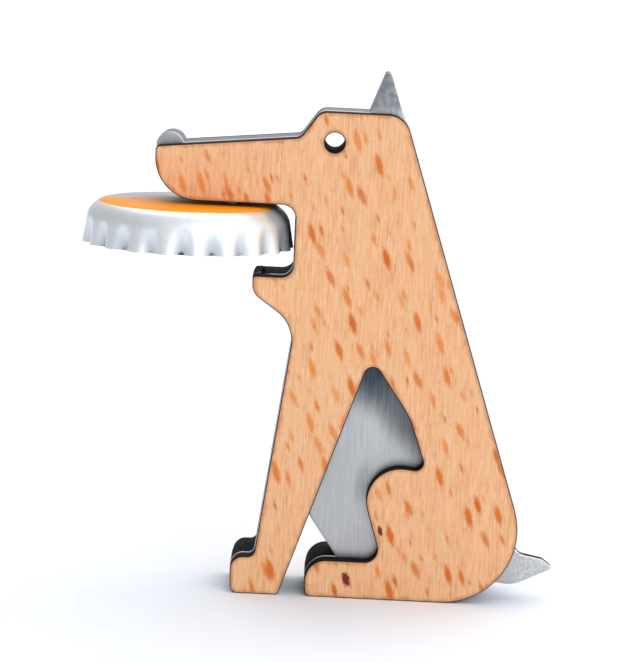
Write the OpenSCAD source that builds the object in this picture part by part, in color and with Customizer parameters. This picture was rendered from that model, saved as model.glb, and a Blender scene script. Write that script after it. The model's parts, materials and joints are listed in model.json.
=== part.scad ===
// Bottle opener in the shape of a sitting dog, holding a crown cap in its mouth.
// Two beech plates are bonded to a thick steel core that carries the nose, ear, tail and tooth.
// X runs from the snout (-X) to the tail (+X), Y through the thickness with the front at -Y,
// Z up. The origin is on the table, under the middle of the dog and its cap.

/* [Dog outline] */
// Height of the top of the head above the table
head_top_z = 73.8; // [66:0.1:90]
// Height of the head, from the roof of the mouth to its top
head_h = 14.1; // [12.5:0.1:17]
// Open height of the mouth between the jaws
mouth_gap = 10.8; // [9:0.1:13]
// Length of the upper jaw, from the back of the mouth to its tip
snout_l = 21.2; // [17.5:0.1:26]
// Length of the lower jaw, from the back of the mouth to its tip
jaw_l = 6; // [5:0.1:7.4]
// Length of the head's top, from the forehead to the nape
head_top_l = 12.6; // [11:0.1:15]
// How far behind the mouth the line of the back meets the table
rump_l = 40.3; // [36:0.1:49]
// Height of the peak of the belly cut-out
belly_z = 37.4; // [33:0.1:45]
// Height of the two paws
paw_h = 5.8; // [5.2:0.1:7]

/* [Layers] */
// Thickness of each beech plate
plate_t = 2.5; // [2:0.1:4]
// Thickness of each adhesive film
film_t = 0.1; // [0.05:0.05:0.3]
// Thickness of the steel core
core_t = 6.8; // [5.6:0.1:9]
// How far the steel stands out past the edge of the beech
core_proud = 0.1; // [0.05:0.05:0.3]
// How far the adhesive film stays inside the edge of the beech
film_inset = 0.5; // [0.3:0.1:1]

/* [Steel features] */
// Diameter of the round nose
nose_d = 4.2; // [3.6:0.1:5.2]
// Height of the ear above the head, to where its edges would meet
ear_h = 7; // [5:0.1:8.4]
// Length of the tail past the line of the back at the table
tail_l = 1.9; // [1:0.1:4]
// Thickness of the tail
tail_t = 1.6; // [1.2:0.1:3]
// Height of the tooth above the steel of the lower jaw
tooth_h = 0.3; // [0.1:0.05:0.6]
// Width of the tooth on the lower jaw
tooth_w = 1.3; // [1:0.1:1.8]
// Width and depth of the groove behind the tooth
groove_w = 0.5; // [0.4:0.1:1]

/* [Eye] */
// Diameter of the eye through the beech
eye_beech_d = 3; // [2.6:0.1:4.5]
// Diameter of the eye through the steel
eye_steel_d = 3; // [2.4:0.1:4]

/* [Magnet] */
// Diameter of the magnet in the roof of the mouth
magnet_d = 4; // [3:0.1:5]
// Length of the magnet
magnet_h = 4; // [3:0.1:6]
// How far the magnet stands out of the steel
magnet_proud = 0.4; // [0.1:0.05:0.8]
// Distance from the back of the mouth to the middle of the magnet
magnet_back = 10; // [8:0.1:12]
// Clearance round the magnet for its bonding glue
magnet_clear = 0.05; // [0.02:0.01:0.1]

/* [Crown cap] */
// Diameter of the cap across its rim
cap_d = 32.1; // [28:0.1:38]
// Height of the cap
cap_h = 6.5; // [5.6:0.1:7.8]
// Radius of the cap's shoulder
shoulder_r = 3.5; // [2.5:0.1:4]
// Lean of the skirt from upright, in degrees
skirt_lean = 10; // [5:1:20]
// Thickness of the tinplate
cap_sheet = 0.25; // [0.2:0.01:0.35]
// Number of flutes in the skirt
cap_flutes = 21; // [21:1:24]
// Depth of the flutes at the rim
flute_depth = 1; // [0.6:0.1:1.4]
// Thickness of the sealing liner's middle
liner_t = 0.4; // [0.3:0.1:0.8]
// Thickness of the liner's sealing bead
bead_t = 1.1; // [0.9:0.1:1.6]
// Clearance between the cap and the dog that holds it
cap_gap = 0.1; // [0.05:0.05:0.3]

/* [Hidden] */

$fn = 64;
arc_step = 5;
overlap = 1;
reach = 200;

beech = "#E6B487";
steel = "#AAAFB3";
film = "#D8D0B4";
nickel = "#C7CACD";
tinplate = "#E4E7EA";
liner_white = "#E9E6DC";

// Layers, from the middle plane outwards
core_y = core_t / 2;
plate_in_y = core_y + film_t;
plate_out_y = plate_in_y + plate_t;

// Levels and places that the outline is drawn from
mouth_x = -4.6;
snout_x = mouth_x - snout_l;
jaw_x = mouth_x - jaw_l;
brow_x = -1.6;
nape_x = brow_x + head_top_l;
rump_x = mouth_x + rump_l;
roof_z = head_top_z - head_h;
jaw_z = roof_z - mouth_gap;
eye_x = 0.7;
eye_z = head_top_z - 4.5;

// Corners of the beech outline, anticlockwise from the front toe: x, z and corner radius
outline = [
    [-12, 0, 1.2],
    [-4.7, 0, 0.8],
    [7.7, belly_z, 1.3],
    [13.9, belly_z - 8.8, 15],
    [17, belly_z - 17.2, 1.2],
    [5.9, belly_z - 15.9, 5.2],
    [10.9, paw_h, 2],
    [-0.8, paw_h, 3.2],
    [-0.6, 0, 1],
    [rump_x, 0, 11.3],
    [nape_x, head_top_z, 3.5],
    [brow_x, head_top_z, 2],
    [brow_x - 2.8, head_top_z - 4, 1.5],
    [snout_x, head_top_z - 6.2, 0.6],
    [snout_x, roof_z, 6.3],
    [mouth_x, roof_z, 2],
    [mouth_x, jaw_z, 1.9],
    [jaw_x, jaw_z, 0.4],
    [jaw_x, jaw_z - 2.6, 2.5],
    [jaw_x + 6.6, jaw_z - 7.2, 5.5],
    [-8.6, paw_h, 1.1],
    [-12.2, paw_h, 2]
];

// Steel web across the belly: its free edge runs from the front leg down to the hind paw
web = [
    [-2, 14.4],
    [4.9, 4.4],
    [14, 4],
    [22, 20],
    [16, 32],
    [8, belly_z + 4],
    [4, belly_z - 4]
];

// Pointed ear, from its root inside the head
ear = [
    [nape_x - 5.9, head_top_z - 1.6, 0],
    [nape_x + 0.4, head_top_z - 1.6, 0],
    [nape_x - 0.8, head_top_z + 1.4, 1.5],
    [nape_x - 2.7, head_top_z + ear_h, 0.5]
];

// Flat tail, from its root inside the rump
tail = [
    [rump_x - 9, 2.6, 0],
    [rump_x - 4.3, 1.9, 5],
    [rump_x + tail_l, 4.9, 0.4],
    [rump_x + tail_l - 1.8, 6.25, 1.2],
    [rump_x - 3.5, 6.9, 2],
    [rump_x - 6, 10.5, 0]
];

nose_x = snout_x + 2;
nose_z = head_top_z - 6.3;

// The magnet's open face, and the cap that it holds
magnet_x = mouth_x - magnet_back;
steel_roof_z = roof_z - core_proud;
steel_jaw_z = jaw_z + core_proud;
magnet_face_z = steel_roof_z - magnet_proud;
cap_x = mouth_x - core_proud - cap_gap - cap_d / 2;
cap_top_z = magnet_face_z - cap_gap;

// Section of the cap, and the turn that brings the gap between two flutes to the front
shoulder_steps = 4;
skirt_steps = 3;
flute_points = 6;
cap_points = cap_flutes * flute_points;
cap_turn = 90 / cap_flutes;
flat_r = cap_d / 2 - cap_h * tan(skirt_lean) - shoulder_r * tan(45 - skirt_lean / 2);

// Section of the liner: its bead's outside follows the shoulder down to the bead's full depth
follow_r = shoulder_r - cap_sheet - cap_gap;
follow_steps = 4;
follow_start = 80;
follow_end = asin((shoulder_r - cap_sheet - bead_t) / follow_r);
bead_out_r = flat_r + follow_r * cos(follow_end);
bead_flat = 1.2;
bead_slope = 1.2;

// ---- Outlines with round corners ----

function xy(p) = [p[0], p[1]];
function unit(v) = v / norm(v);
function wrap(list, i) = list[(i + len(list)) % len(list)];
function cross_z(a, b) = a[0] * b[1] - a[1] * b[0];

// Points of the arc that rounds corner v, between its neighbours a and b
function corner_arc(a, v, b) =
    let(
        to_a = unit(xy(a) - xy(v)),
        to_b = unit(xy(b) - xy(v)),
        half = acos(to_a * to_b) / 2,
        mid = xy(v) + unit(to_a + to_b) * v[2] / sin(half),
        from = xy(v) + to_a * v[2] / tan(half) - mid,
        turn = (180 - 2 * half) * sign(cross_z(to_b, to_a)),
        steps = ceil(abs(turn) / arc_step),
        start = atan2(from[1], from[0])
    )
    [for (i = [0:steps]) mid + v[2] * [cos(start + turn * i / steps), sin(start + turn * i / steps)]];

// A corner list as a polygon's points
function rounded(corners) = [
    for (i = [0:len(corners) - 1])
        let(v = corners[i])
        each v[2] > 0 ? corner_arc(wrap(corners, i - 1), v, wrap(corners, i + 1)) : [xy(v)]
];

// An anticlockwise corner list with every edge moved outwards by d
function grown(corners, d) = [
    for (i = [0:len(corners) - 1])
        let(
            v = corners[i],
            e1 = unit(xy(v) - xy(wrap(corners, i - 1))),
            e2 = unit(xy(wrap(corners, i + 1)) - xy(v)),
            n1 = [e1[1], -e1[0]],
            n2 = [e2[1], -e2[0]],
            p = xy(v) + d * (n1 + n2) / (1 + n1 * n2)
        )
        [p[0], p[1], max(v[2] + d * sign(cross_z(e1, e2)), 0)]
];

// A layer between two depths, from children drawn in the front view
module layer(front_y, back_y) {
    translate([0, back_y, 0])
        rotate([90, 0, 0])
            linear_extrude(back_y - front_y)
                children();
}

// What lies below the table, cut away so that the layers stand flush
module below_table() {
    translate([-reach / 2, -reach / 2, -reach])
        cube(reach);
}

// A round hole through the thickness at the eye
module eye_hole(d) {
    translate([eye_x, 0, eye_z])
        rotate([90, 0, 0])
            cylinder(d = d, h = reach, center = true);
}

// ---- Dog ----

module beech_plate(front_y, back_y) {
    color(beech)
        difference() {
            layer(front_y, back_y) polygon(rounded(outline));
            eye_hole(eye_beech_d);
        }
}

module front_beech_plate() {
    beech_plate(-plate_out_y, -plate_in_y);
}

module rear_beech_plate() {
    beech_plate(plate_in_y, plate_out_y);
}

// Die-cut film that bonds a plate to the core
module adhesive_film(front_y, back_y) {
    color(film)
        difference() {
            layer(front_y, back_y) polygon(rounded(grown(outline, -film_inset)));
            eye_hole(eye_beech_d + 2 * film_inset);
        }
}

module front_adhesive_film() {
    adhesive_film(-plate_in_y, -core_y);
}

module rear_adhesive_film() {
    adhesive_film(core_y, plate_in_y);
}

// Tooth that catches under a cap's rim: it rises from the tip of the lower jaw to a narrow crest
module tooth() {
    root = jaw_x + 0.4;
    back = jaw_x - core_proud + tooth_w;
    layer(-core_y, core_y)
        polygon([
            [root, steel_jaw_z - overlap],
            [back, steel_jaw_z - overlap],
            [back, steel_jaw_z + tooth_h],
            [back - 0.3, steel_jaw_z + tooth_h],
            [root, steel_jaw_z]
        ]);
}

// Groove that lets the rim seat behind the tooth
module tooth_groove() {
    translate([jaw_x - core_proud + tooth_w, -reach / 2, steel_jaw_z - groove_w])
        cube([groove_w, reach, groove_w + overlap]);
}

module nose() {
    translate([nose_x, 0, nose_z])
        rotate([90, 0, 0])
            cylinder(d = nose_d, h = core_t, center = true);
}

module magnet_pocket() {
    translate([magnet_x, 0, magnet_face_z])
        cylinder(d = magnet_d + 2 * magnet_clear, h = magnet_h + magnet_clear);
}

module steel_core() {
    color(steel)
        difference() {
            union() {
                layer(-core_y, core_y) polygon(rounded(grown(outline, core_proud)));
                layer(-core_y, core_y) polygon(web);
                layer(-core_y, core_y) polygon(rounded(ear));
                layer(-tail_t / 2, tail_t / 2) polygon(rounded(tail));
                nose();
                tooth();
            }
            below_table();
            eye_hole(eye_steel_d);
            magnet_pocket();
            tooth_groove();
        }
}

module mouth_magnet() {
    color(nickel)
        translate([magnet_x, 0, magnet_face_z])
            cylinder(d = magnet_d, h = magnet_h);
}

// ---- Crown cap ----

// Section of the sheet's surface that lies inset under the outside: radius and height
function cap_section(inset) = concat(
    [
        for (i = [0:shoulder_steps])
            let(a = 90 - (90 - skirt_lean) * i / shoulder_steps)
            [flat_r + (shoulder_r - inset) * cos(a), (shoulder_r - inset) * sin(a) - shoulder_r]
    ],
    [
        for (i = [1:skirt_steps])
            let(
                top = [flat_r + (shoulder_r - inset) * cos(skirt_lean), (shoulder_r - inset) * sin(skirt_lean) - shoulder_r],
                rim = [cap_d / 2 - inset / cos(skirt_lean), -cap_h]
            )
            top + (rim - top) * i / skirt_steps
    ]
);

// How deep the flutes are at a point of the section, from nothing at the shoulder
function flute_at(i) = flute_depth * max(i - shoulder_steps, 0) / skirt_steps;

// Rings of points round the cap, pressed inwards between the flutes
function cap_rings(inset) = [
    for (i = [0:shoulder_steps + skirt_steps], j = [0:cap_points - 1])
        let(
            p = cap_section(inset)[i],
            a = 360 * j / cap_points,
            r = p[0] - flute_at(i) * (1 - cos(cap_flutes * a)) / 2
        )
        [r * cos(a), r * sin(a), p[1]]
];

module crown_cap_shell() {
    rings = shoulder_steps + skirt_steps + 1;
    n = cap_points;
    inner = rings * n;
    outside = [for (i = [0:rings - 2], j = [0:n - 1])
        [i * n + j, i * n + (j + 1) % n, (i + 1) * n + (j + 1) % n, (i + 1) * n + j]];
    inside = [for (i = [0:rings - 2], j = [0:n - 1])
        [inner + i * n + j, inner + (i + 1) * n + j, inner + (i + 1) * n + (j + 1) % n, inner + i * n + (j + 1) % n]];
    rim = [for (j = [0:n - 1])
        [inner - n + j, inner - n + (j + 1) % n, 2 * inner - n + (j + 1) % n, 2 * inner - n + j]];
    top = [[for (j = [n - 1:-1:0]) j]];
    ceiling = [[for (j = [0:n - 1]) inner + j]];
    color(tinplate)
        translate([cap_x, 0, cap_top_z])
            rotate([0, 0, cap_turn])
                polyhedron(
                    points = concat(cap_rings(0), cap_rings(cap_sheet)),
                    faces = concat(top, outside, rim, inside, ceiling),
                    convexity = 4
                );
}

// Moulded liner: a thin middle and a thick sealing bead that follows the shoulder
module crown_cap_liner() {
    shoulder_arc = [
        for (i = [0:follow_steps])
            let(a = follow_start + (follow_end - follow_start) * i / follow_steps)
            [flat_r + follow_r * cos(a), follow_r * sin(a) - shoulder_r]
    ];
    color(liner_white)
        translate([cap_x, 0, cap_top_z])
            rotate_extrude()
                polygon(concat(
                    [[0, -cap_sheet], [flat_r - cap_gap, -cap_sheet]],
                    shoulder_arc,
                    [
                        [bead_out_r - bead_flat, -cap_sheet - bead_t],
                        [bead_out_r - bead_flat - bead_slope, -cap_sheet - liner_t],
                        [0, -cap_sheet - liner_t]
                    ]
                ));
}

front_beech_plate();
rear_beech_plate();
steel_core();
front_adhesive_film();
rear_adhesive_film();
mouth_magnet();
crown_cap_shell();
crown_cap_liner();
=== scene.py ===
import json
import math

import bmesh
import bpy
import numpy as np
from bpy.props import FloatProperty, FloatVectorProperty, IntProperty, PointerProperty
from bpy.types import Operator, Panel, PropertyGroup
from mathutils import Matrix, Vector, geometry


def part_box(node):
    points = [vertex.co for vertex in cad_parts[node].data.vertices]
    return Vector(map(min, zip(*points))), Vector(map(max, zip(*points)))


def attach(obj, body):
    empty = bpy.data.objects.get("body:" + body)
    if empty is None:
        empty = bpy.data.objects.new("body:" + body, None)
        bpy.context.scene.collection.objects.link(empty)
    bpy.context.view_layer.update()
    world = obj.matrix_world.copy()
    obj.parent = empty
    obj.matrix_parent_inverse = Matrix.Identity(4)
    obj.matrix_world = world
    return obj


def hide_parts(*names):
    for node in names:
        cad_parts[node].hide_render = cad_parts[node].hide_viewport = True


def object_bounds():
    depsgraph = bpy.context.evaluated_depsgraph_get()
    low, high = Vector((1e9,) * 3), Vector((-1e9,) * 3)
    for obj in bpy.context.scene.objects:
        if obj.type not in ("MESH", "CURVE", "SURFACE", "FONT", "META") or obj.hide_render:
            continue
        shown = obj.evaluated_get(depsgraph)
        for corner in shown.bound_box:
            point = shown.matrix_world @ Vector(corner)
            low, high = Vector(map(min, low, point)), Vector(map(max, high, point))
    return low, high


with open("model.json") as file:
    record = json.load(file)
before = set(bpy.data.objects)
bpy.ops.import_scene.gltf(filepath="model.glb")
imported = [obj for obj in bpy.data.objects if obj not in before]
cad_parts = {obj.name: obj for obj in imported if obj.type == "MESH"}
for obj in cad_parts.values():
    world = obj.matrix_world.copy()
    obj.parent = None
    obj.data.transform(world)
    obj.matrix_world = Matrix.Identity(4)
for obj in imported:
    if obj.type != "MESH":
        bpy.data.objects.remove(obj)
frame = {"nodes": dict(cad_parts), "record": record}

bl_info = {
    "name": "Dog Bottle Opener",
    "version": (1, 0, 0),
    "blender": (4, 5, 0),
    "location": "View3D > Sidebar > Dog Opener",
    "description": "Builds a beech and steel bottle opener shaped like a dog, with a crown cap in its mouth",
    "category": "Object",
}

CAD_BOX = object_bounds()
MM = 0.001
# Points closer than WELD are one point, and those closer than SHORT along an outline are thinned out
WELD = 0.002 * MM
SHORT = 0.06 * MM
# Triangles smaller than this are left out
SLIVER = 1e-5 * MM * MM
# Points this near an outline are on it
ON_EDGE = 0.02 * MM
# How far the tail's root is sunk in the core
TAIL_ROOT = 1.2 * MM
ARRIS_STEPS = 4
POINTS_PER_FLUTE = 16
POINTS_DOWN_CAP = 40
SHARP = math.radians(40)
SHARP_SHEET = math.radians(60)
# Deep enough for a patch to reach through the whole object, in metres
ANY_DEPTH = 1000


def srgb(code):
    """An sRGB hex colour as linear red, green, blue and alpha."""
    parts = [int(code[i : i + 2], 16) / 255 for i in (1, 3, 5)]
    return tuple(p / 12.92 if p <= 0.04045 else ((p + 0.055) / 1.055) ** 2.4 for p in parts) + (1.0,)


def colour(name, code, description):
    """A colour property whose default is an sRGB hex code."""
    return FloatVectorProperty(
        name=name, description=description, subtype="COLOR", size=4, min=0, max=1, default=srgb(code)
    )


# ---- Settings ----


class BeechSettings(PropertyGroup):
    arris: FloatProperty(
        name="Arris",
        description="Radius of the plates' broken edges",
        default=0.12 * MM,
        min=0.02 * MM,
        unit="LENGTH",
    )
    mesh_step: FloatProperty(
        name="Mesh step", description="Distance between the points of a face", default=0.5 * MM, unit="LENGTH"
    )
    fleck_tilt: FloatProperty(
        name="Fleck tilt",
        description="Lean of the ray flecks from the grain",
        default=math.radians(17),
        subtype="ANGLE",
    )
    pale: colour("Pale wood", "#E9BB8F", "Earlywood between the grain lines")
    tan: colour("Tan wood", "#DFA576", "Most of the face")
    deep: colour("Deep wood", "#CB8A55", "Latewood streaks and pores")
    fleck: colour("Ray fleck", "#E07A12", "Most of a ray fleck")
    fleck_core: colour("Ray fleck's middle", "#C65E06", "Darkest part of a ray fleck")
    knot: colour("Pin knot", "#6E1A0A", "The two pin knots near the hind paw")
    scorch: colour("Scorch", "#A4602F", "Smoke stain beside the laser cut")
    char: colour("Char", "#1B1416", "Burnt edge of the laser cut")
    soot_and_shade: colour("Soot", "#24242C", "Paler streaks down the burnt edge")


class SteelSettings(PropertyGroup):
    arris: FloatProperty(
        name="Arris",
        description="Radius of the core's tumbled edges",
        default=0.14 * MM,
        min=0.02 * MM,
        unit="LENGTH",
    )
    tail_arris: FloatProperty(
        name="Tail arris",
        description="Radius of the tail's edges",
        default=0.18 * MM,
        min=0.02 * MM,
        unit="LENGTH",
    )
    mesh_step: FloatProperty(
        name="Mesh step", description="Distance between the points of a face", default=0.6 * MM, unit="LENGTH"
    )
    tail_step: FloatProperty(
        name="Tail step", description="Distance between the tail's points", default=0.4 * MM, unit="LENGTH"
    )
    pocket_clearance: FloatProperty(
        name="Pocket clearance", description="Gap round the magnet", default=0.05 * MM, unit="LENGTH"
    )
    light: colour("Light steel", "#C5C6C6", "Crests of the brush lines")
    grey: colour("Grey steel", "#A5A7A7", "Hollows of the brush lines")
    # Painted shade on the belly web
    painted_web_shade: colour("Painted web shade", "#2C3841", "Dark tint at the peak of the belly")
    oxide_and_shade: colour("Oxide and painted shade", "#0A1016", "Laser-cut walls")
    # Wall colour painted lighter along the top of the head, where light falls
    painted_shading: colour("Lit wall", "#62686E", "Walls painted lighter along the top of the head")
    polished: colour("Polished arris", "#D3D7DA", "Tumbled edges")
    darker_steel: colour("Darker steel", "#5D6870", "Tint of the ear and the nose")
    tail_light: colour("Light tail", "#CBCDCD", "Stippled tail")
    tail_grey: colour("Grey tail", "#ADB0B1", "Spots of the stippled tail")


class CapSettings(PropertyGroup):
    flutes: IntProperty(name="Flutes", description="Number of flutes in the skirt", default=21, min=3)
    flute_depth: FloatProperty(
        name="Flute depth", description="Depth of the flutes at the rim", default=1.0 * MM, unit="LENGTH"
    )
    shoulder: FloatProperty(
        name="Shoulder", description="Radius of the rounded shoulder", default=3.5 * MM, unit="LENGTH"
    )
    lean: FloatProperty(
        name="Skirt lean",
        description="Lean of the skirt from upright",
        default=math.radians(10),
        subtype="ANGLE",
    )
    height: FloatProperty(
        name="Height",
        description="Height of the cap, for the wear at its rim",
        default=6.5 * MM,
        unit="LENGTH",
    )
    sheet: FloatProperty(
        name="Sheet", description="Thickness of the tinplate", default=0.25 * MM, unit="LENGTH"
    )
    print_radius: FloatProperty(
        name="Print radius", description="Outer radius of the printed top", default=13.6 * MM, unit="LENGTH"
    )
    tin: colour("Tin", "#E9EEF1", "Lacquered tinplate")
    dull_tin: colour("Dull tin", "#C3CCD2", "Smudges on the tinplate")
    # Painted shade for the hollows of the flutes
    hollow: colour("Painted flute shade", "#84929B", "Hollows of the flutes")
    rim_shade: colour("Painted rim shade", "#2B2D2F", "Painted shade in the flute hollows at the rim")
    orange: colour("Orange print", "#FF9A06", "Front part of the printed top")
    deep_orange: colour("Deep orange print", "#F58A10", "Mottle in the print")
    grey: colour("Grey print", "#B9B7BC", "Back part of the printed top")
    liner: colour("Liner", "#E9E6DC", "Moulded sealing liner")
    dull_liner: colour("Dull liner", "#D9D5C6", "Clouding in the liner")


class StageSettings(PropertyGroup):
    camera_place: FloatVectorProperty(
        name="Camera",
        description="Place of the camera",
        subtype="TRANSLATION",
        default=(0, -349 * MM, 95 * MM),
    )
    camera_tip: FloatProperty(
        name="Camera tip",
        description="How far the camera looks down",
        default=math.radians(8.94),
        subtype="ANGLE",
    )
    camera_roll: FloatProperty(
        name="Camera roll",
        description="Turn of the camera about its view",
        default=math.radians(2.8),
        subtype="ANGLE",
    )
    lens: FloatProperty(
        name="Lens", description="Focal length for a 36 mm wide sensor", default=129.96, min=10
    )
    floor_radius: FloatProperty(
        name="Floor radius", description="How far the paper reaches", default=12, min=1, unit="LENGTH"
    )
    floor: colour("Floor", "#F3F7FF", "Seamless studio paper")
    floor_tooth: colour("Floor tooth", "#ECF1FA", "Fine tooth of the paper")


# ---- Outlines and meshes ----


def flat_loops(node, y):
    """Loops of (x, z) points round a CAD node's flat face at depth y, with the material on their left."""
    bm = bmesh.new()
    bm.from_mesh(frame["nodes"][node].data)
    bmesh.ops.remove_doubles(bm, verts=bm.verts, dist=WELD)
    flat = {
        f for f in bm.faces if f.normal.y < -0.999 and all(abs(v.co.y - y) < WELD for v in f.verts)
    }
    following = {}
    for face in flat:
        for corner in face.loops:
            if sum(f in flat for f in corner.edge.link_faces) == 1:
                following[corner.vert] = corner.link_loop_next.vert
    loops = []
    while following:
        start, vert = following.popitem()
        points = [start]
        while vert is not start:
            points.append(vert)
            vert = following.pop(vert)
        loop = [np.array((v.co.x, v.co.z)) for v in points]
        kept = loop[:1]
        for point in loop[1:]:
            if min(np.linalg.norm(point - kept[-1]), np.linalg.norm(point - kept[0])) > SHORT:
                kept.append(point)
        loops.append(np.array(kept))
    bm.free()
    return loops


def stepped(loop, step):
    """The loop with points added along its long edges."""
    points = []
    for a, b in zip(loop, np.roll(loop, -1, axis=0)):
        n = max(1, round(np.linalg.norm(b - a) / step))
        points += [a + (b - a) * k / n for k in range(n)]
    return np.array(points)


def inset(loop, d):
    """The loop moved towards its material by d."""
    along = np.roll(loop, -1, axis=0) - loop
    along /= np.linalg.norm(along, axis=1)[:, None]
    left = np.stack([-along[:, 1], along[:, 0]], 1)
    before = np.roll(left, 1, axis=0)
    return loop + d * (before + left) / (1 + (before * left).sum(1))[:, None]


def edges_of(loops):
    """Every edge of the loops, as pairs of points."""
    return [(a, b) for loop in loops for a, b in zip(loop, np.roll(loop, -1, axis=0))]


def inside(points, loops):
    """Which points lie in the material, by counting the edges to their right."""
    found = np.zeros(len(points), bool)
    for a, b in edges_of(loops):
        if a[1] != b[1]:
            spans = (a[1] > points[:, 1]) != (b[1] > points[:, 1])
            crossing = a[0] + (points[:, 1] - a[1]) * (b[0] - a[0]) / (b[1] - a[1])
            found ^= spans & (points[:, 0] < crossing)
    return found


def edge_distance(points, loops):
    """Distance of each point from the nearest edge of the loops."""
    nearest = np.full(len(points), np.inf)
    for a, b in edges_of(loops):
        span = b - a
        share = np.clip((points - a) @ span / (span @ span), 0, 1)
        gap = np.linalg.norm(points - a - share[:, None] * span, axis=1)
        nearest = np.minimum(nearest, gap)
    return nearest


def filled(loops, spacing):
    """Grid points inside the loops, and the triangles that join them and the loops' own points."""
    rim = np.vstack(loops)
    low, high = rim.min(0), rim.max(0)
    rows = np.arange(low[1], high[1], spacing * math.sqrt(3) / 2)
    grid = np.array(
        [
            (x, z)
            for k, z in enumerate(rows)
            for x in np.arange(low[0] + spacing / 2 * (k % 2), high[0], spacing)
        ]
    )
    grid = grid[inside(grid, loops)]
    grid = grid[edge_distance(grid, loops) > spacing / 2]
    points = np.vstack([rim, grid])
    starts = np.cumsum([0] + [len(loop) for loop in loops])
    edges = [(s + j, s + (j + 1) % len(loop)) for s, loop in zip(starts, loops) for j in range(len(loop))]
    flat = [Vector(p / MM) for p in points]
    _, _, faces, origins, _, _ = geometry.delaunay_2d_cdt(flat, edges, [], 0, 1e-6)
    source = [o[0] for o in origins]
    triangles = np.array([[source[i] for i in face] for face in faces])
    a, b, c = (points[triangles[:, k]] for k in range(3))
    turn = (b[:, 0] - a[:, 0]) * (c[:, 1] - a[:, 1]) - (b[:, 1] - a[:, 1]) * (c[:, 0] - a[:, 0])
    triangles[turn < 0] = triangles[turn < 0][:, ::-1]
    return grid, triangles[inside((a + b + c) / 3, loops) & (abs(turn) > SLIVER)]


def slab(name, loops, front, back, arris, step):
    """A plate cut along the loops, with round arrises and evenly meshed faces, as a new object."""
    loops = [stepped(loop, step) for loop in loops]
    turns = [math.pi / 2 * k / ARRIS_STEPS for k in range(ARRIS_STEPS + 1)]
    wall = back - front - 2 * arris
    rows = max(2, round(wall / step / 1.5))
    rings = [(arris * (1 - math.sin(a)), front + arris * (1 - math.cos(a))) for a in turns]
    rings += [(0, front + arris + wall * k / rows) for k in range(1, rows)]
    rings += [(arris * (1 - math.cos(a)), back - arris * (1 - math.sin(a))) for a in turns]
    count = sum(len(loop) for loop in loops)
    verts = [(x, y, z) for d, y in rings for loop in loops for x, z in inset(loop, d)]
    faces = []
    start = 0
    for loop in loops:
        for i in range(len(rings) - 1):
            for j in range(len(loop)):
                a = i * count + start + j
                b = i * count + start + (j + 1) % len(loop)
                faces.append((a, a + count, b + count, b))
        start += len(loop)
    grid, triangles = filled([inset(loop, arris) for loop in loops], step)
    for y, rim, turned in ((front, 0, 1), (back, (len(rings) - 1) * count, -1)):
        base = len(verts)
        verts += [(x, y, z) for x, z in grid]
        faces += [tuple(rim + i if i < count else base + i - count for i in t)[::turned] for t in triangles]
    mesh = bpy.data.meshes.new(name)
    mesh.from_pydata(verts, [], faces)
    piece = bpy.data.objects.new(name, mesh)
    bpy.context.scene.collection.objects.link(piece)
    return piece


def cylinder(name, centre, radius, low, high, sides=64):
    """A closed upright cylinder, as a new object."""
    bm = bmesh.new()
    place = Matrix.Translation((centre[0], centre[1], (low + high) / 2))
    bmesh.ops.create_cone(
        bm, cap_ends=True, segments=sides, radius1=radius, radius2=radius, depth=high - low, matrix=place
    )
    mesh = bpy.data.meshes.new(name)
    bm.to_mesh(mesh)
    bm.free()
    tool = bpy.data.objects.new(name, mesh)
    bpy.context.scene.collection.objects.link(tool)
    return tool


def bake(piece):
    """Turn a piece's modifiers into its plain mesh."""
    evaluated = piece.evaluated_get(bpy.context.evaluated_depsgraph_get())
    mesh = bpy.data.meshes.new_from_object(evaluated)
    piece.modifiers.clear()
    old = piece.data
    piece.data = mesh
    mesh.name = piece.name
    bpy.data.meshes.remove(old)


def fit(piece, tool, operation):
    """Join a second solid to a piece, or cut it away, and remove the tool."""
    step = piece.modifiers.new("fit", "BOOLEAN")
    step.object = tool
    step.operation = operation
    step.solver = "EXACT"
    bpy.context.view_layer.update()
    bake(piece)
    bpy.data.objects.remove(tool)


def smooth(piece):
    """Shade a piece smoothly, with its flat faces flat and its sharp edges sharp."""
    piece.data.shade_smooth()
    piece.data.set_sharp_from_angle(angle=SHARP)
    even = piece.modifiers.new("even_shading", "WEIGHTED_NORMAL")
    even.keep_sharp = True
    even.weight = 100
    bpy.context.view_layer.update()
    bake(piece)


def mark(piece, loops):
    """Store how far each point lies from the cut edge, in millimetres, and how much it faces sideways."""
    mesh = piece.data
    places = np.array([v.co for v in mesh.vertices])
    sideways = np.array([1 - abs(n.vector.y) for n in mesh.vertex_normals])
    distance = edge_distance(places[:, [0, 2]], loops) / MM
    for name, values in (("edge_mm", distance), ("wall", sideways)):
        field = mesh.attributes.new(name, "FLOAT", "POINT")
        field.data.foreach_set("value", values.astype(np.float32))


def finish_piece(piece, material, body, slot, *nodes):
    """Give a piece its material and body, and let it stand for its CAD nodes. The slot is not used."""
    piece.data.materials.clear()
    piece.data.materials.append(material)
    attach(piece, body)
    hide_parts(*nodes)


def paint_node(node, material):
    """Give a CAD node that stays on show a better material."""
    for slot in frame["nodes"][node].material_slots:
        slot.material = material


# ---- Material building ----

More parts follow.
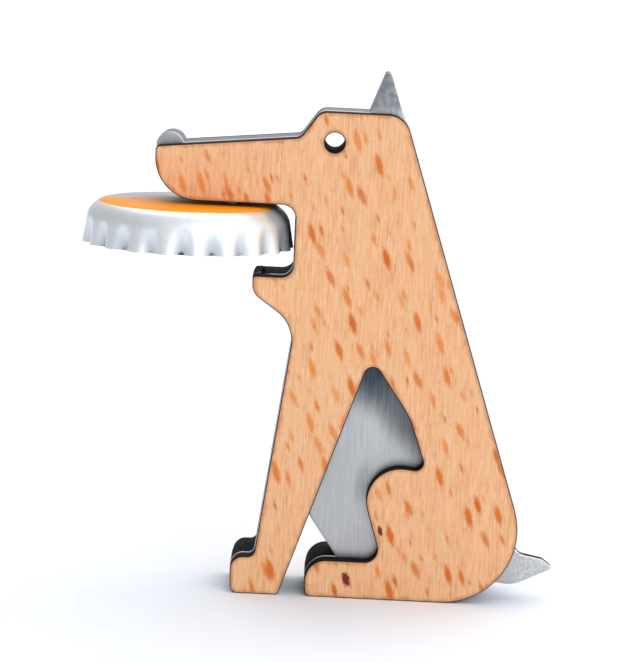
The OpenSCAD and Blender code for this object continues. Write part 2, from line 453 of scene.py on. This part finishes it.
# Short names for the nodes that are used most, with their usual settings
KINDS = {
    "ease": ("ShaderNodeMapRange", {"interpolation_type": "SMOOTHSTEP"}),
    "mix": ("ShaderNodeMix", {"data_type": "RGBA"}),
    "plus": ("ShaderNodeMath", {"operation": "ADD"}),
    "minus": ("ShaderNodeMath", {"operation": "SUBTRACT"}),
    "times": ("ShaderNodeMath", {"operation": "MULTIPLY"}),
    "over": ("ShaderNodeMath", {"operation": "DIVIDE"}),
    "power": ("ShaderNodeMath", {"operation": "POWER"}),
    "larger": ("ShaderNodeMath", {"operation": "MAXIMUM"}),
    "unsigned": ("ShaderNodeMath", {"operation": "ABSOLUTE"}),
    "cosine": ("ShaderNodeMath", {"operation": "COSINE"}),
    "sine": ("ShaderNodeMath", {"operation": "SINE"}),
    "length": ("ShaderNodeVectorMath", {"operation": "LENGTH"}),
    "shift": ("ShaderNodeVectorMath", {"operation": "ADD"}),
    "split": ("ShaderNodeSeparateXYZ", {}),
    "join": ("ShaderNodeCombineXYZ", {}),
    "fit": ("ShaderNodeMapping", {"vector_type": "TEXTURE"}),
    "ramp": ("ShaderNodeValToRGB", {}),
    "bump": ("ShaderNodeBump", {}),
    "surface": ("ShaderNodeBsdfPrincipled", {}),
    "output": ("ShaderNodeOutputMaterial", {}),
}


def add(tree, kind, *values, stops=(), **settings):
    """Add a node with its settings, and fill its open inputs in order, or by name from a dictionary.

    A value is a number, a colour, an output socket, or a node, whose first open output is linked.
    Stops are the places and colours of a colour ramp.
    """
    kind, usual = KINDS.get(kind, (kind, {}))
    made = tree.nodes.new(kind)
    for key, value in {**usual, **settings}.items():
        setattr(made, key, value)
    if values and isinstance(values[0], dict):
        pairs = [(made.inputs[key], value) for key, value in values[0].items()]
    else:
        pairs = zip([socket for socket in made.inputs if socket.enabled], values)
    for socket, value in pairs:
        if isinstance(value, bpy.types.Node):
            value = next(out for out in value.outputs if out.enabled)
        if isinstance(value, bpy.types.NodeSocket):
            tree.links.new(value, socket)
        else:
            socket.default_value = value
    for k, (place, shade) in enumerate(stops):
        ramp = made.color_ramp.elements
        stop = ramp[k] if k < 2 else ramp.new(place)
        stop.position = place
        stop.color = shade
    return made


def new_material(name):
    """An empty node material, with its tree and its place in object coordinates."""
    material = bpy.data.materials.new(name)
    material.use_nodes = True
    tree = material.node_tree
    tree.nodes.clear()
    return material, tree, add(tree, "ShaderNodeTexCoord").outputs["Object"]


def variation(tree, place, size, offset=(0, 0, 0), detail=2.0, rough=0.5):
    """A random pattern whose features are about size across along X, Y and Z, in metres."""
    per_metre = tuple(1 / s for s in size)
    fitted = add(tree, "ShaderNodeMapping", {"Vector": place, "Location": offset, "Scale": per_metre})
    settings = {"Vector": fitted, "Scale": 1.0, "Detail": detail, "Roughness": rough}
    return add(tree, "ShaderNodeTexNoise", settings)


def patch(tree, place, centre, size, tilt=0.0, fray=0.0, edges=(1.15, 0.6)):
    """How strongly each point lies in a soft-edged ellipse, at any depth: centre and size in X and Z."""
    middle = (centre[0], 0, centre[1])
    fitted = add(tree, "fit", place, middle, (0, -tilt, 0), (size[0], ANY_DEPTH, size[1]))
    reach = add(tree, "plus", add(tree, "length", fitted), fray)
    return add(tree, "ease", reach, *edges)


# ---- Beech ----


def ray_flecks(tree, place, tilt, cell, offset, sizes, fray):
    """Lens-shaped flecks, one to a cell: how strongly each point is in one, and its cell's own tone."""
    fitted = add(tree, "fit", place, offset, (0, -tilt, 0), (cell[0], 1, cell[1]))
    split = add(tree, "split", fitted).outputs
    flat = add(tree, "join", split["X"], split["Z"])
    cells = add(
        tree,
        "ShaderNodeTexVoronoi",
        {"Vector": flat, "Scale": 1.0, "Exponent": 1.7, "Randomness": 1.0},
        voronoi_dimensions="2D",
        distance="MINKOWSKI",
    ).outputs
    tone = add(tree, "ShaderNodeSeparateColor", cells["Color"]).outputs
    size = add(tree, "ease", tone["Red"], 0.1, 1.0, *sizes)
    depth = add(tree, "minus", size, add(tree, "plus", cells["Distance"], fray))
    return add(tree, "ease", depth, -0.02, sizes[1] * 0.6), tone["Green"]


def oiled_beech(name, seed, knots, bonded):
    """Sanded and oiled beech ply: pale vertical grain, orange ray flecks, and laser-charred edges."""
    look = bpy.context.scene.opener_beech
    material, tree, place = new_material(name)
    shift = (seed * 7.3, seed * 3.1, seed * 5.7)
    # Grain lines 0.3 mm apart and bands 3 mm apart run up the plate
    streaks = variation(tree, place, (0.3 * MM, 2 * MM, 4 * MM), shift, 3.0, 0.65)
    bands = variation(tree, place, (3 * MM, 6 * MM, 40 * MM), shift)
    pores = variation(tree, place, (0.16 * MM, 0.5 * MM, 1.3 * MM), shift, 1.0)
    mottle = variation(tree, place, (1.6 * MM, 2 * MM, 2.2 * MM), shift)
    wood = add(tree, "ramp", streaks, stops=[(0.26, look.deep), (0.66, look.pale), (0.44, look.tan)])
    for pattern, low, high, most, shade in (
        (bands, 0.35, 0.7, 0.35, look.pale),
        (mottle, 0.55, 0.75, 0.3, look.deep),
        (pores, 0.6, 0.72, 0.4, look.deep),
    ):
        wood = add(tree, "mix", add(tree, "ease", pattern, low, high, 0.0, most), wood, shade)
    # Two sets of flecks, about one to every 20 square millimetres, that lean a little differently
    ragged = variation(tree, place, (0.22 * MM, 1 * MM, 0.5 * MM), shift, 2.0, 0.6)
    fray = add(tree, "times", add(tree, "minus", ragged, 0.5), 0.22)
    for tilt, cell, sizes, strength, start in (
        (look.fleck_tilt, (2.4 * MM, 8.0 * MM), (0.14, 0.29), 1.0, (0.3, 0.1)),
        (look.fleck_tilt + math.radians(9), (3.0 * MM, 9.0 * MM), (0.05, 0.22), 0.8, (1.7, 0.6)),
    ):
        spot = (start[0] * MM + seed * MM, 0, start[1] * MM + seed * 2 * MM)
        here, tone = ray_flecks(tree, place, tilt, cell, spot, sizes, fray)
        shade = add(tree, "mix", tone, look.fleck, look.fleck_core)
        strong = add(tree, "times", here, add(tree, "ease", tone, 0.0, 0.8, strength * 0.7, strength))
        wood = add(tree, "mix", strong, wood, shade)
    for centre, size in knots:
        here = patch(tree, place, centre, size, look.fleck_tilt, add(tree, "times", fray, 7.0))
        wood = add(tree, "mix", here, wood, look.knot)
    # Smoke stains the face up to 0.6 mm from the cut, and the cut wall is burnt. The faces that lie against
    # the core get the same dark colours as painted shade.
    edge = add(tree, "ShaderNodeAttribute", attribute_name="edge_mm").outputs["Fac"]
    wall = add(tree, "ShaderNodeAttribute", attribute_name="wall").outputs["Fac"]
    depth = add(tree, "unsigned", add(tree, "split", place).outputs["Y"])
    # Painted shade: the faces against the core are darkened with the burnt colours
    inner = add(tree, "ease", depth, bonded + 0.1 * MM, bonded + 0.02 * MM)
    smoke = add(tree, "plus", edge, add(tree, "times", add(tree, "minus", mottle, 0.5), -1.2))
    wood = add(tree, "mix", add(tree, "ease", smoke, 0.75, 0.12, 0.0, 0.55), wood, look.scorch)
    wood = add(tree, "mix", add(tree, "ease", edge, 0.2, 0.1), wood, look.char)
    burnt_and_shaded = add(tree, "larger", add(tree, "ease", wall, 0.12, 0.5), inner)
    striae = variation(tree, place, (0.12 * MM, 1.5 * MM, 0.12 * MM), shift)
    soot_and_shade = add(tree, "ramp", striae, stops=[(0.3, look.char), (0.75, look.soot_and_shade)])
    wood = add(tree, "mix", burnt_and_shaded, wood, soot_and_shade)
    relief = add(tree, "plus", add(tree, "times", streaks, 0.6), add(tree, "times", pores, 0.4))
    bump = add(tree, "bump", {"Strength": 0.35, "Distance": 0.03 * MM, "Height": relief})
    shine = add(tree, "ease", streaks, 0.2, 0.8, 0.58, 0.44)
    shader = add(
        tree,
        "surface",
        {
            "Base Color": wood,
            "Roughness": add(tree, "plus", shine, add(tree, "times", burnt_and_shaded, 0.2)),
            "Normal": bump,
            "Specular IOR Level": add(tree, "ease", burnt_and_shaded, 0.0, 1.0, 0.35, 0.05),
        },
    )
    add(tree, "output", shader)
    return material


# ---- Steel ----


def brushed_steel():
    """Vertically brushed stainless steel: fine lines, dark laser-cut walls and bright tumbled arrises."""
    look = bpy.context.scene.opener_steel
    material, tree, place = new_material("Brushed stainless steel, laser-cut")
    # Brush lines are drawn 0.11 mm apart, coarser than the real ones, so that they show
    lines = variation(tree, place, (0.11 * MM, 0.11 * MM, 7 * MM), (0, 0, 0), 2.0, 0.7)
    cloud = variation(tree, place, (5 * MM, 5 * MM, 9 * MM), (3.1, 0, 1.2), 3.0)
    grain = variation(tree, place, (0.3 * MM, 0.3 * MM, 0.3 * MM), (0, 0, 0), 3.0, 0.7)
    face = add(tree, "ramp", lines, stops=[(0.3, look.grey), (0.7, look.light)])
    face = add(tree, "mix", add(tree, "ease", cloud, 0.35, 0.75, 0.0, 0.3), face, look.grey)
    # Painted shade under the peak of the belly cut-out and down its rear edge, and a narrow strip of painted
    # shade by the thigh
    low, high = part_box("front_beech_plate")
    fray = add(tree, "times", add(tree, "minus", cloud, 0.5), 0.5)
    for centre, size, tilt, strength in (
        ((8.0 * MM, 36.5 * MM), (4.5 * MM, 7.0 * MM), 0, 1.0),
        ((14.0 * MM, 28.5 * MM), (4.2 * MM, 10.5 * MM), 33, 0.8),
        ((7.4 * MM, 17.8 * MM), (1.1 * MM, 3.2 * MM), -8, 0.3),
    ):
        tint = patch(tree, place, centre, size, math.radians(tilt), fray, (1.35, 0.4))
        tint = add(tree, "times", tint, add(tree, "ease", lines, 0.2, 0.8, strength, strength * 0.8))
        face = add(tree, "mix", tint, face, look.painted_web_shade)
    # The ear and nose are darker than the rest, and the tail is brighter
    split = add(tree, "split", place).outputs
    dents = variation(tree, place, (0.8 * MM, 0.8 * MM, 1.2 * MM), (0, 0, 0), 3.0)
    ear = add(tree, "ease", split["Z"], high.z, high.z + 1.5 * MM)
    ear = add(tree, "times", ear, add(tree, "ease", dents, 0.28, 0.72, 0.45, 0.85))
    face = add(tree, "mix", ear, face, look.darker_steel)
    nose = patch(tree, place, (low.x + 2 * MM, 66 * MM), (3.5 * MM, 3.5 * MM), edges=(1.1, 0.8))
    face = add(tree, "mix", add(tree, "times", nose, 0.3), face, look.darker_steel)
    tail = add(tree, "ease", split["X"], high.x - 1 * MM, high.x + 1 * MM)
    stipple = add(tree, "mix", add(tree, "ease", grain, 0.4, 0.62), look.tail_light, look.tail_grey)
    face = add(tree, "mix", tail, face, stipple)
    # Walls are black where the laser cut them, and painted lighter along the top of the head as a painted
    # highlight where light falls from above
    wall = add(tree, "ShaderNodeAttribute", attribute_name="wall").outputs["Fac"]
    edge = add(tree, "ShaderNodeAttribute", attribute_name="edge_mm").outputs["Fac"]
    striae = variation(tree, place, (0.16 * MM, 2.5 * MM, 0.16 * MM))
    eye = frame["record"]["mounts"][0]["pos_m"]
    socket = patch(tree, place, (eye[0], eye[2]), (2.2 * MM, 2.2 * MM), edges=(1.0, 0.9))
    lit_top = add(tree, "minus", add(tree, "ease", split["Z"], 60 * MM, 64 * MM), socket)
    cut = add(tree, "mix", lit_top, look.oxide_and_shade, look.painted_shading)
    cut = add(tree, "mix", add(tree, "ease", striae, 0.5, 0.85, 0.0, 0.12), cut, look.grey)
    walls = add(tree, "ease", wall, 0.55, 0.9)
    skin = add(tree, "mix", walls, face, cut)
    scale = add(tree, "times", walls, add(tree, "ease", lit_top, 1.0, 0.0, 0.0, 0.9))
    bright = add(tree, "times", add(tree, "ease", wall, 0.08, 0.3), add(tree, "ease", wall, 0.85, 0.6))
    skin = add(tree, "mix", bright, skin, look.polished)
    # The tooth, down in the mouth, is painted with the oxide colour as painted shade
    tooth = patch(tree, place, (-9.6 * MM, 48.8 * MM), (1.5 * MM, 1.1 * MM), edges=(1.3, 0.7))
    skin = add(tree, "mix", add(tree, "times", tooth, 0.8), skin, look.oxide_and_shade)
    relief = add(tree, "mix", add(tree, "ease", wall, 0.3, 0.7), lines, striae)
    relief = add(tree, "plus", relief, add(tree, "times", grain, 0.3))
    rough = add(tree, "ease", lines, 0.2, 0.8, 0.42, 0.3)
    rough = add(tree, "plus", rough, add(tree, "ease", scale, 0.0, 0.9, 0.0, 0.35))
    rough = add(tree, "plus", rough, add(tree, "ease", edge, 0.6, 0.0, 0.0, 0.04))
    shader = add(
        tree,
        "surface",
        {
            "Base Color": skin,
            "Metallic": add(tree, "minus", 1.0, scale),
            "Roughness": rough,
            "Normal": add(tree, "bump", {"Strength": 0.25, "Distance": 0.02 * MM, "Height": relief}),
            "Specular IOR Level": add(tree, "ease", scale, 0.0, 0.9, 0.5, 0.06),
        },
    )
    add(tree, "output", shader)
    return material


# ---- Small inner pieces ----


def bonding_film():
    """Cured acrylic bonding film: a thin, slightly cloudy, straw-coloured line between wood and steel."""
    material, tree, place = new_material("Acrylic bonding film, cured")
    cloud = variation(tree, place, (1.2 * MM, 1.2 * MM, 1.2 * MM), (0, 0, 0), 3.0)
    shader = add(
        tree,
        "surface",
        {
            "Base Color": add(tree, "ramp", cloud, stops=[(0.3, srgb("#8C8160")), (0.75, srgb("#CFC6A4"))]),
            "Roughness": add(tree, "ease", cloud, 0.3, 0.7, 0.35, 0.6),
            "Normal": add(tree, "bump", {"Strength": 0.2, "Distance": 0.02 * MM, "Height": cloud}),
            "IOR": 1.47,
        },
    )
    add(tree, "output", shader)
    return material


def nickel_plate():
    """Bright nickel plate on a magnet: a smooth mirror with faint orange peel and a few handling marks."""
    material, tree, place = new_material("Nickel plate, bright")
    peel = variation(tree, place, (0.25 * MM, 0.25 * MM, 0.25 * MM))
    marks = variation(tree, place, (0.9 * MM, 0.12 * MM, 0.5 * MM), (4, 1, 2), 3.0, 0.7)
    shader = add(
        tree,
        "surface",
        {
            "Base Color": add(tree, "ramp", marks, stops=[(0.4, srgb("#C9CCCE")), (0.7, srgb("#9DA1A5"))]),
            "Metallic": 1.0,
            "Roughness": add(tree, "ease", marks, 0.45, 0.75, 0.16, 0.34),
            "Normal": add(tree, "bump", {"Strength": 0.15, "Distance": 0.01 * MM, "Height": peel}),
        },
    )
    add(tree, "output", shader)
    return material


# ---- Crown cap ----


def printed_tinplate(axis, top):
    """Lacquered tinplate with a printed top: satin silver skirt, glossy orange and grey print."""
    look = bpy.context.scene.opener_cap
    material, tree, place = new_material("Tinplate, lacquered and printed")
    split = add(tree, "split", add(tree, "fit", place, (axis.x, axis.y, top))).outputs
    radius = add(tree, "length", add(tree, "join", split["X"], split["Y"]))
    smudge = variation(tree, place, (2.2 * MM, 2.2 * MM, 3 * MM), (0, 0, 0), 3.0)
    speck = variation(tree, place, (0.25 * MM, 0.25 * MM, 0.25 * MM))
    # The print covers the top and ends part of the way down the shoulder
    line = add(tree, "plus", split["Y"], add(tree, "times", smudge, 0.4 * MM))
    ink = add(tree, "mix", add(tree, "ease", line, -0.3 * MM, 0.3 * MM), look.orange, look.grey)
    ink = add(tree, "mix", add(tree, "ease", smudge, 0.5, 0.8, 0.0, 0.15), ink, look.deep_orange)
    within = add(tree, "ease", radius, look.print_radius + 0.08 * MM, look.print_radius - 0.08 * MM)
    upper = add(tree, "ease", split["Z"], -look.sheet * 0.6 - 1.4 * MM, -look.sheet * 0.5 - 1.3 * MM)
    printed = add(tree, "times", within, upper)
    # The hollows of the flutes get painted shade, and patches of dark painted shade in the hollows at the rim
    gap = add(tree, "ShaderNodeAttribute", attribute_name="gap").outputs["Fac"]
    tin = add(tree, "mix", add(tree, "ease", smudge, 0.4, 0.75, 0.0, 0.3), look.tin, look.dull_tin)
    tin = add(tree, "mix", add(tree, "times", gap, 0.7), tin, look.hollow)
    # Painted shade in patches in the deepest hollows at the rim
    rim = add(tree, "ease", split["Z"], 0.7 * MM - look.height, 0.2 * MM - look.height)
    painted_shading = add(tree, "times", rim, add(tree, "ease", gap, 0.72, 0.95))
    painted_shading = add(tree, "times", painted_shading, add(tree, "ease", smudge, 0.4, 0.6))
    tin = add(tree, "mix", painted_shading, tin, look.rim_shade)
    rough = add(tree, "ease", smudge, 0.3, 0.8, 0.3, 0.42)
    shader = add(
        tree,
        "surface",
        {
            "Base Color": add(tree, "mix", printed, tin, ink),
            "Metallic": add(tree, "ease", printed, 0.2, 0.8, 0.62, 0.0),
            "Roughness": add(tree, "plus", rough, add(tree, "ease", printed, 0.0, 1.0, 0.0, 0.1)),
            "Normal": add(tree, "bump", {"Strength": 0.1, "Distance": 0.01 * MM, "Height": speck}),
            "Specular IOR Level": add(tree, "ease", printed, 0.2, 0.8, 0.5, 0.2),
        },
    )
    add(tree, "output", shader)
    return material


def moulded_liner(axis):
    """Compression-moulded liner: soft off-white plastic with faint rings from its mould."""
    look = bpy.context.scene.opener_cap
    material, tree, place = new_material("Moulded liner, off-white")
    rings = add(
        tree,
        "ShaderNodeTexWave",
        {"Vector": add(tree, "fit", place, (axis.x, axis.y, 0)), "Scale": 0.25 / MM, "Distortion": 0.3},
        wave_type="RINGS",
        rings_direction="Z",
    ).outputs["Fac"]
    cloud = variation(tree, place, (1.5 * MM, 1.5 * MM, 1.5 * MM), (0, 0, 0), 3.0)
    clouding = add(tree, "ease", cloud, 0.4, 0.7, 0.0, 0.6)
    shader = add(
        tree,
        "surface",
        {
            "Base Color": add(tree, "mix", clouding, look.liner, look.dull_liner),
            "Roughness": add(tree, "ease", cloud, 0.3, 0.7, 0.38, 0.55),
            "Normal": add(tree, "bump", {"Strength": 0.2, "Distance": 0.05 * MM, "Height": rings}),
            "Subsurface Weight": 0.15,
            "Subsurface Scale": 0.5 * MM,
        },
    )
    add(tree, "output", shader)
    return material


def flute_tree():
    """Geometry Nodes that turn a cap's half section into a fluted shell."""
    tree = bpy.data.node_groups.new("fluted_cap", "GeometryNodeTree")
    face = tree.interface
    face.new_socket("Section", in_out="INPUT", socket_type="NodeSocketGeometry")
    for name, kind in (
        ("Shoulder radius", "NodeSocketFloat"),
        ("Height", "NodeSocketFloat"),
        ("Flutes", "NodeSocketInt"),
        ("Flute depth", "NodeSocketFloat"),
        ("Centre", "NodeSocketVector"),
        ("Around", "NodeSocketInt"),
        ("Down", "NodeSocketInt"),
        ("Material", "NodeSocketMaterial"),
    ):
        face.new_socket(name, in_out="INPUT", socket_type=kind)
    face.new_socket("Shell", in_out="OUTPUT", socket_type="NodeSocketGeometry")
    given = add(tree, "NodeGroupInput").outputs
    curve = add(tree, "GeometryNodeMeshToCurve", given["Section"])
    rounded = add(
        tree,
        "GeometryNodeFilletCurve",
        {"Curve": curve, "Radius": given["Shoulder radius"], "Count": 24},
        mode="POLY",
    )
    grid = add(tree, "GeometryNodeMeshGrid", 1.0, 1.0, given["Around"], given["Down"])
    share = add(tree, "split", grid.outputs["UV Map"]).outputs
    section = add(tree, "GeometryNodeSampleCurve", {"Curves": rounded, "Factor": share["Y"]}, mode="FACTOR")
    here = add(tree, "split", section.outputs["Position"]).outputs
    # Each flute is a raised cosine around the skirt that grows towards the rim
    angle = add(tree, "times", share["X"], 2 * math.pi)
    wave = add(tree, "cosine", add(tree, "times", angle, given["Flutes"]))
    hollow = add(tree, "times", add(tree, "minus", 1.0, wave), 0.5)
    hollow = add(tree, "power", hollow, 1.5)
    drop = add(tree, "over", add(tree, "times", here["Z"], -1.0), given["Height"])
    gap = add(tree, "times", hollow, add(tree, "ease", drop, 0.3, 1.15, 0.0, 1.1))
    radius = add(tree, "minus", here["X"], add(tree, "times", gap, given["Flute depth"]))
    turned = add(tree, "plus", angle, add(tree, "over", math.pi / 2, given["Flutes"]))
    across = add(tree, "times", radius, add(tree, "cosine", turned))
    along = add(tree, "times", radius, add(tree, "sine", turned))
    spot = add(tree, "shift", add(tree, "join", across, along, here["Z"]), given["Centre"])
    shell = add(tree, "GeometryNodeSetPosition", {"Geometry": grid, "Position": spot})
    closed = add(tree, "GeometryNodeMergeByDistance", {"Geometry": shell, "Distance": WELD})
    marked = add(
        tree,
        "GeometryNodeStoreNamedAttribute",
        {"Geometry": closed, "Name": "gap", "Value": gap},
        data_type="FLOAT",
        domain="POINT",
    )
    real = add(tree, "GeometryNodeRealizeInstances", marked)
    coated = add(tree, "GeometryNodeSetMaterial", {"Geometry": real, "Material": given["Material"]})
    add(tree, "NodeGroupOutput", {"Shell": coated})
    return tree


def fluted_shell(name, material, axis, radius, low, high):
    """The cap's sheet metal from low to high, from its half section and the flute rule, thickened inwards."""
    look = bpy.context.scene.opener_cap
    height = high - low
    section = bpy.data.meshes.new(name)
    corner = radius - height * math.tan(look.lean)
    section.from_pydata([(0, 0, 0), (corner, 0, 0), (radius, 0, -height)], [(0, 1), (1, 2)], [])
    shell = bpy.data.objects.new(name, section)
    bpy.context.scene.collection.objects.link(shell)
    tree = flute_tree()
    step = shell.modifiers.new("flutes", "NODES")
    step.node_group = tree
    values = {
        "Shoulder radius": look.shoulder,
        "Height": height,
        "Flutes": look.flutes,
        "Flute depth": look.flute_depth,
        "Centre": (axis.x, axis.y, high),
        "Around": look.flutes * POINTS_PER_FLUTE + 1,
        "Down": POINTS_DOWN_CAP,
        "Material": material,
    }
    for item in tree.interface.items_tree:
        if item.item_type == "SOCKET" and item.in_out == "INPUT" and item.name in values:
            step[item.identifier] = values[item.name]
    bpy.context.view_layer.update()
    bake(shell)
    bm = bmesh.new()
    bm.from_mesh(shell.data)
    bmesh.ops.recalc_face_normals(bm, faces=bm.faces)
    top = max(bm.faces, key=lambda f: f.calc_center_median().z)
    if top.normal.z < 0:
        bmesh.ops.reverse_faces(bm, faces=bm.faces)
    bm.to_mesh(shell.data)
    bm.free()
    wall = shell.modifiers.new("sheet", "SOLIDIFY")
    wall.thickness = look.sheet
    wall.offset = -1
    wall.use_even_offset = True
    bpy.context.view_layer.update()
    bake(shell)
    shell.data.shade_smooth()
    shell.data.set_sharp_from_angle(angle=SHARP_SHEET)
    return shell


# ---- Operators ----


class OPENER_OT_beech_plates(Operator):
    """Build the two beech plates"""

    bl_idname = "opener.beech_plates"
    bl_label = "Beech plates"

    def execute(self, context):
        look = context.scene.opener_beech
        # Centre and half size of each pin knot, in X and Z
        knots = [
            ((5.6 * MM, 3.0 * MM), (0.65 * MM, 1.25 * MM)),
            ((10.4 * MM, 10.8 * MM), (0.4 * MM, 0.9 * MM)),
        ]
        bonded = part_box("rear_beech_plate")[0].y
        for node, material in (
            ("front_beech_plate", oiled_beech("Beech, oiled, front", 0.0, knots, bonded)),
            ("rear_beech_plate", oiled_beech("Beech, oiled, rear", 4.0, [], bonded)),
        ):
            low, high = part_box(node)
            loops = flat_loops(node, low.y)
            plate = slab(node + "_cut", loops, low.y, high.y, look.arris, look.mesh_step)
            smooth(plate)
            mark(plate, loops)
            finish_piece(plate, material, "dog", "beech", node)
        return {"FINISHED"}


class OPENER_OT_steel_core(Operator):
    """Build the steel core with its nose, ear, tail, tooth and magnet pocket"""

    bl_idname = "opener.steel_core"
    bl_label = "Steel core"

    def execute(self, context):
        look = context.scene.opener_steel
        low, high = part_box("steel_core")
        loops = flat_loops("steel_core", low.y)
        core = slab("steel_core_brushed", loops, low.y, high.y, look.arris, look.mesh_step)
        # The tail is thinner than the core, so it has a front of its own, and its root is sunk in the core
        tail_tip = high.x - 1 * MM
        mesh = frame["nodes"]["steel_core"].data
        tail_front = min(v.co.y for v in mesh.vertices if v.co.x > tail_tip)
        tail_loops = flat_loops("steel_core", tail_front)
        for loop in tail_loops:
            rooted = edge_distance(loop, loops) < ON_EDGE
            loop[rooted, 0] -= TAIL_ROOT
        tail = slab("steel_tail", tail_loops, tail_front, -tail_front, look.tail_arris, look.tail_step)
        fit(core, tail, "UNION")
        low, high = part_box("mouth_magnet")
        centre = (low + high) / 2
        radius = (high.x - low.x) / 2 + look.pocket_clearance
        pocket = cylinder("pocket", centre, radius, low.z - 1 * MM, high.z + look.pocket_clearance)
        fit(core, pocket, "DIFFERENCE")
        smooth(core)
        mark(core, loops)
        finish_piece(core, brushed_steel(), "dog", "steel", "steel_core")
        return {"FINISHED"}


class OPENER_OT_inner_pieces(Operator):
    """Give the adhesive films and the magnet their finish"""

    bl_idname = "opener.inner_pieces"
    bl_label = "Films and magnet"

    def execute(self, context):
        film = bonding_film()
        paint_node("front_adhesive_film", film)
        paint_node("rear_adhesive_film", film)
        paint_node("mouth_magnet", nickel_plate())
        return {"FINISHED"}


class OPENER_OT_crown_cap(Operator):
    """Build the fluted crown cap and finish its liner"""

    bl_idname = "opener.crown_cap"
    bl_label = "Crown cap"

    def execute(self, context):
        low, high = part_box("crown_cap_shell")
        axis = Vector(((low.x + high.x) / 2, 0, 0))
        material = printed_tinplate(axis, high.z)
        shell = fluted_shell("crown_cap_pressed", material, axis, high.y, low.z, high.z)
        finish_piece(shell, material, "cap", "tinplate", "crown_cap_shell")
        paint_node("crown_cap_liner", moulded_liner(axis))
        return {"FINISHED"}


class OPENER_OT_stage(Operator):
    """Set up the floor, the lights and the camera"""

    bl_idname = "opener.stage"
    bl_label = "Stage"

    def execute(self, context):
        look = context.scene.opener_stage
        scene = context.scene
        bm = bmesh.new()
        bmesh.ops.create_circle(bm, cap_ends=True, radius=look.floor_radius, segments=96)
        paper = bpy.data.meshes.new("studio_paper")
        bm.to_mesh(paper)
        bm.free()
        floor = bpy.data.objects.new("studio_paper", paper)
        scene.collection.objects.link(floor)
        material, tree, place = new_material("Seamless paper, matt white")
        tooth = variation(tree, place, (0.4 * MM, 0.4 * MM, 0.4 * MM))
        tone = add(tree, "mix", add(tree, "ease", tooth, 0.3, 0.7, 0.0, 0.05), look.floor, look.floor_tooth)
        add(tree, "output", add(tree, "surface", {"Base Color": tone, "Roughness": 0.9}))
        paper.materials.append(material)

        camera = bpy.data.objects.new("camera", bpy.data.cameras.new("camera"))
        camera.data.sensor_fit = "HORIZONTAL"
        camera.data.sensor_width = 36
        camera.data.lens = look.lens
        camera.data.clip_start = 10 * MM
        camera.data.clip_end = 40
        tip = Matrix.Rotation(math.pi / 2 - look.camera_tip, 4, "X")
        roll = Matrix.Rotation(look.camera_roll, 4, "Z")
        camera.matrix_world = Matrix.Translation(look.camera_place) @ tip @ roll
        scene.collection.objects.link(camera)
        scene.camera = camera

        for name, towards, strength, softness in (
            ("overhead_diffuser", (-0.1, -0.55, -1.0), 1.1, 70),
            ("front_fill", (-0.6, 1.0, -0.45), 0.75, 50),
        ):
            lamp = bpy.data.lights.new(name, "SUN")
            lamp.energy = strength
            lamp.angle = math.radians(softness)
            light = bpy.data.objects.new(name, lamp)
            light.location = CAD_BOX[1] - Vector(towards)
            light.rotation_mode = "QUATERNION"
            light.rotation_quaternion = Vector(towards).to_track_quat("-Z", "Y")
            scene.collection.objects.link(light)
        world = bpy.data.worlds.new("studio")
        world.use_nodes = True
        tree = world.node_tree
        tree.nodes.clear()
        # The room is dimmer on the left than on the right
        towards = add(tree, "ShaderNodeTexCoord").outputs["Generated"]
        side = add(tree, "split", towards).outputs["X"]
        strength = add(tree, "ease", side, -0.95, 0.8, 0.4, 1.2)
        glow = add(tree, "ShaderNodeBackground", {"Color": (1, 1, 1, 1), "Strength": strength})
        add(tree, "ShaderNodeOutputWorld", {"Surface": glow})
        scene.world = world
        scene.view_settings.view_transform = "Standard"
        return {"FINISHED"}


class OPENER_PT_panel(Panel):
    """Buttons for each group of pieces"""

    bl_idname = "OPENER_PT_panel"
    bl_label = "Dog Opener"
    bl_space_type = "VIEW_3D"
    bl_region_type = "UI"
    bl_category = "Dog Opener"

    def draw(self, context):
        for operator in OPERATORS:
            self.layout.operator(operator.bl_idname)


SETTINGS = {
    "opener_beech": BeechSettings,
    "opener_steel": SteelSettings,
    "opener_cap": CapSettings,
    "opener_stage": StageSettings,
}
OPERATORS = (
    OPENER_OT_beech_plates,
    OPENER_OT_steel_core,
    OPENER_OT_inner_pieces,
    OPENER_OT_crown_cap,
    OPENER_OT_stage,
)


def register():
    for item in (*SETTINGS.values(), *OPERATORS, OPENER_PT_panel):
        bpy.utils.register_class(item)
    for name, group in SETTINGS.items():
        setattr(bpy.types.Scene, name, PointerProperty(type=group))


def unregister():
    for name in SETTINGS:
        delattr(bpy.types.Scene, name)
    for item in reversed((*SETTINGS.values(), *OPERATORS, OPENER_PT_panel)):
        bpy.utils.unregister_class(item)


def main():
    register()
    bpy.ops.opener.beech_plates()
    bpy.ops.opener.steel_core()
    bpy.ops.opener.inner_pieces()
    bpy.ops.opener.crown_cap()
    bpy.ops.opener.stage()


if __name__ == "__main__":
    main()
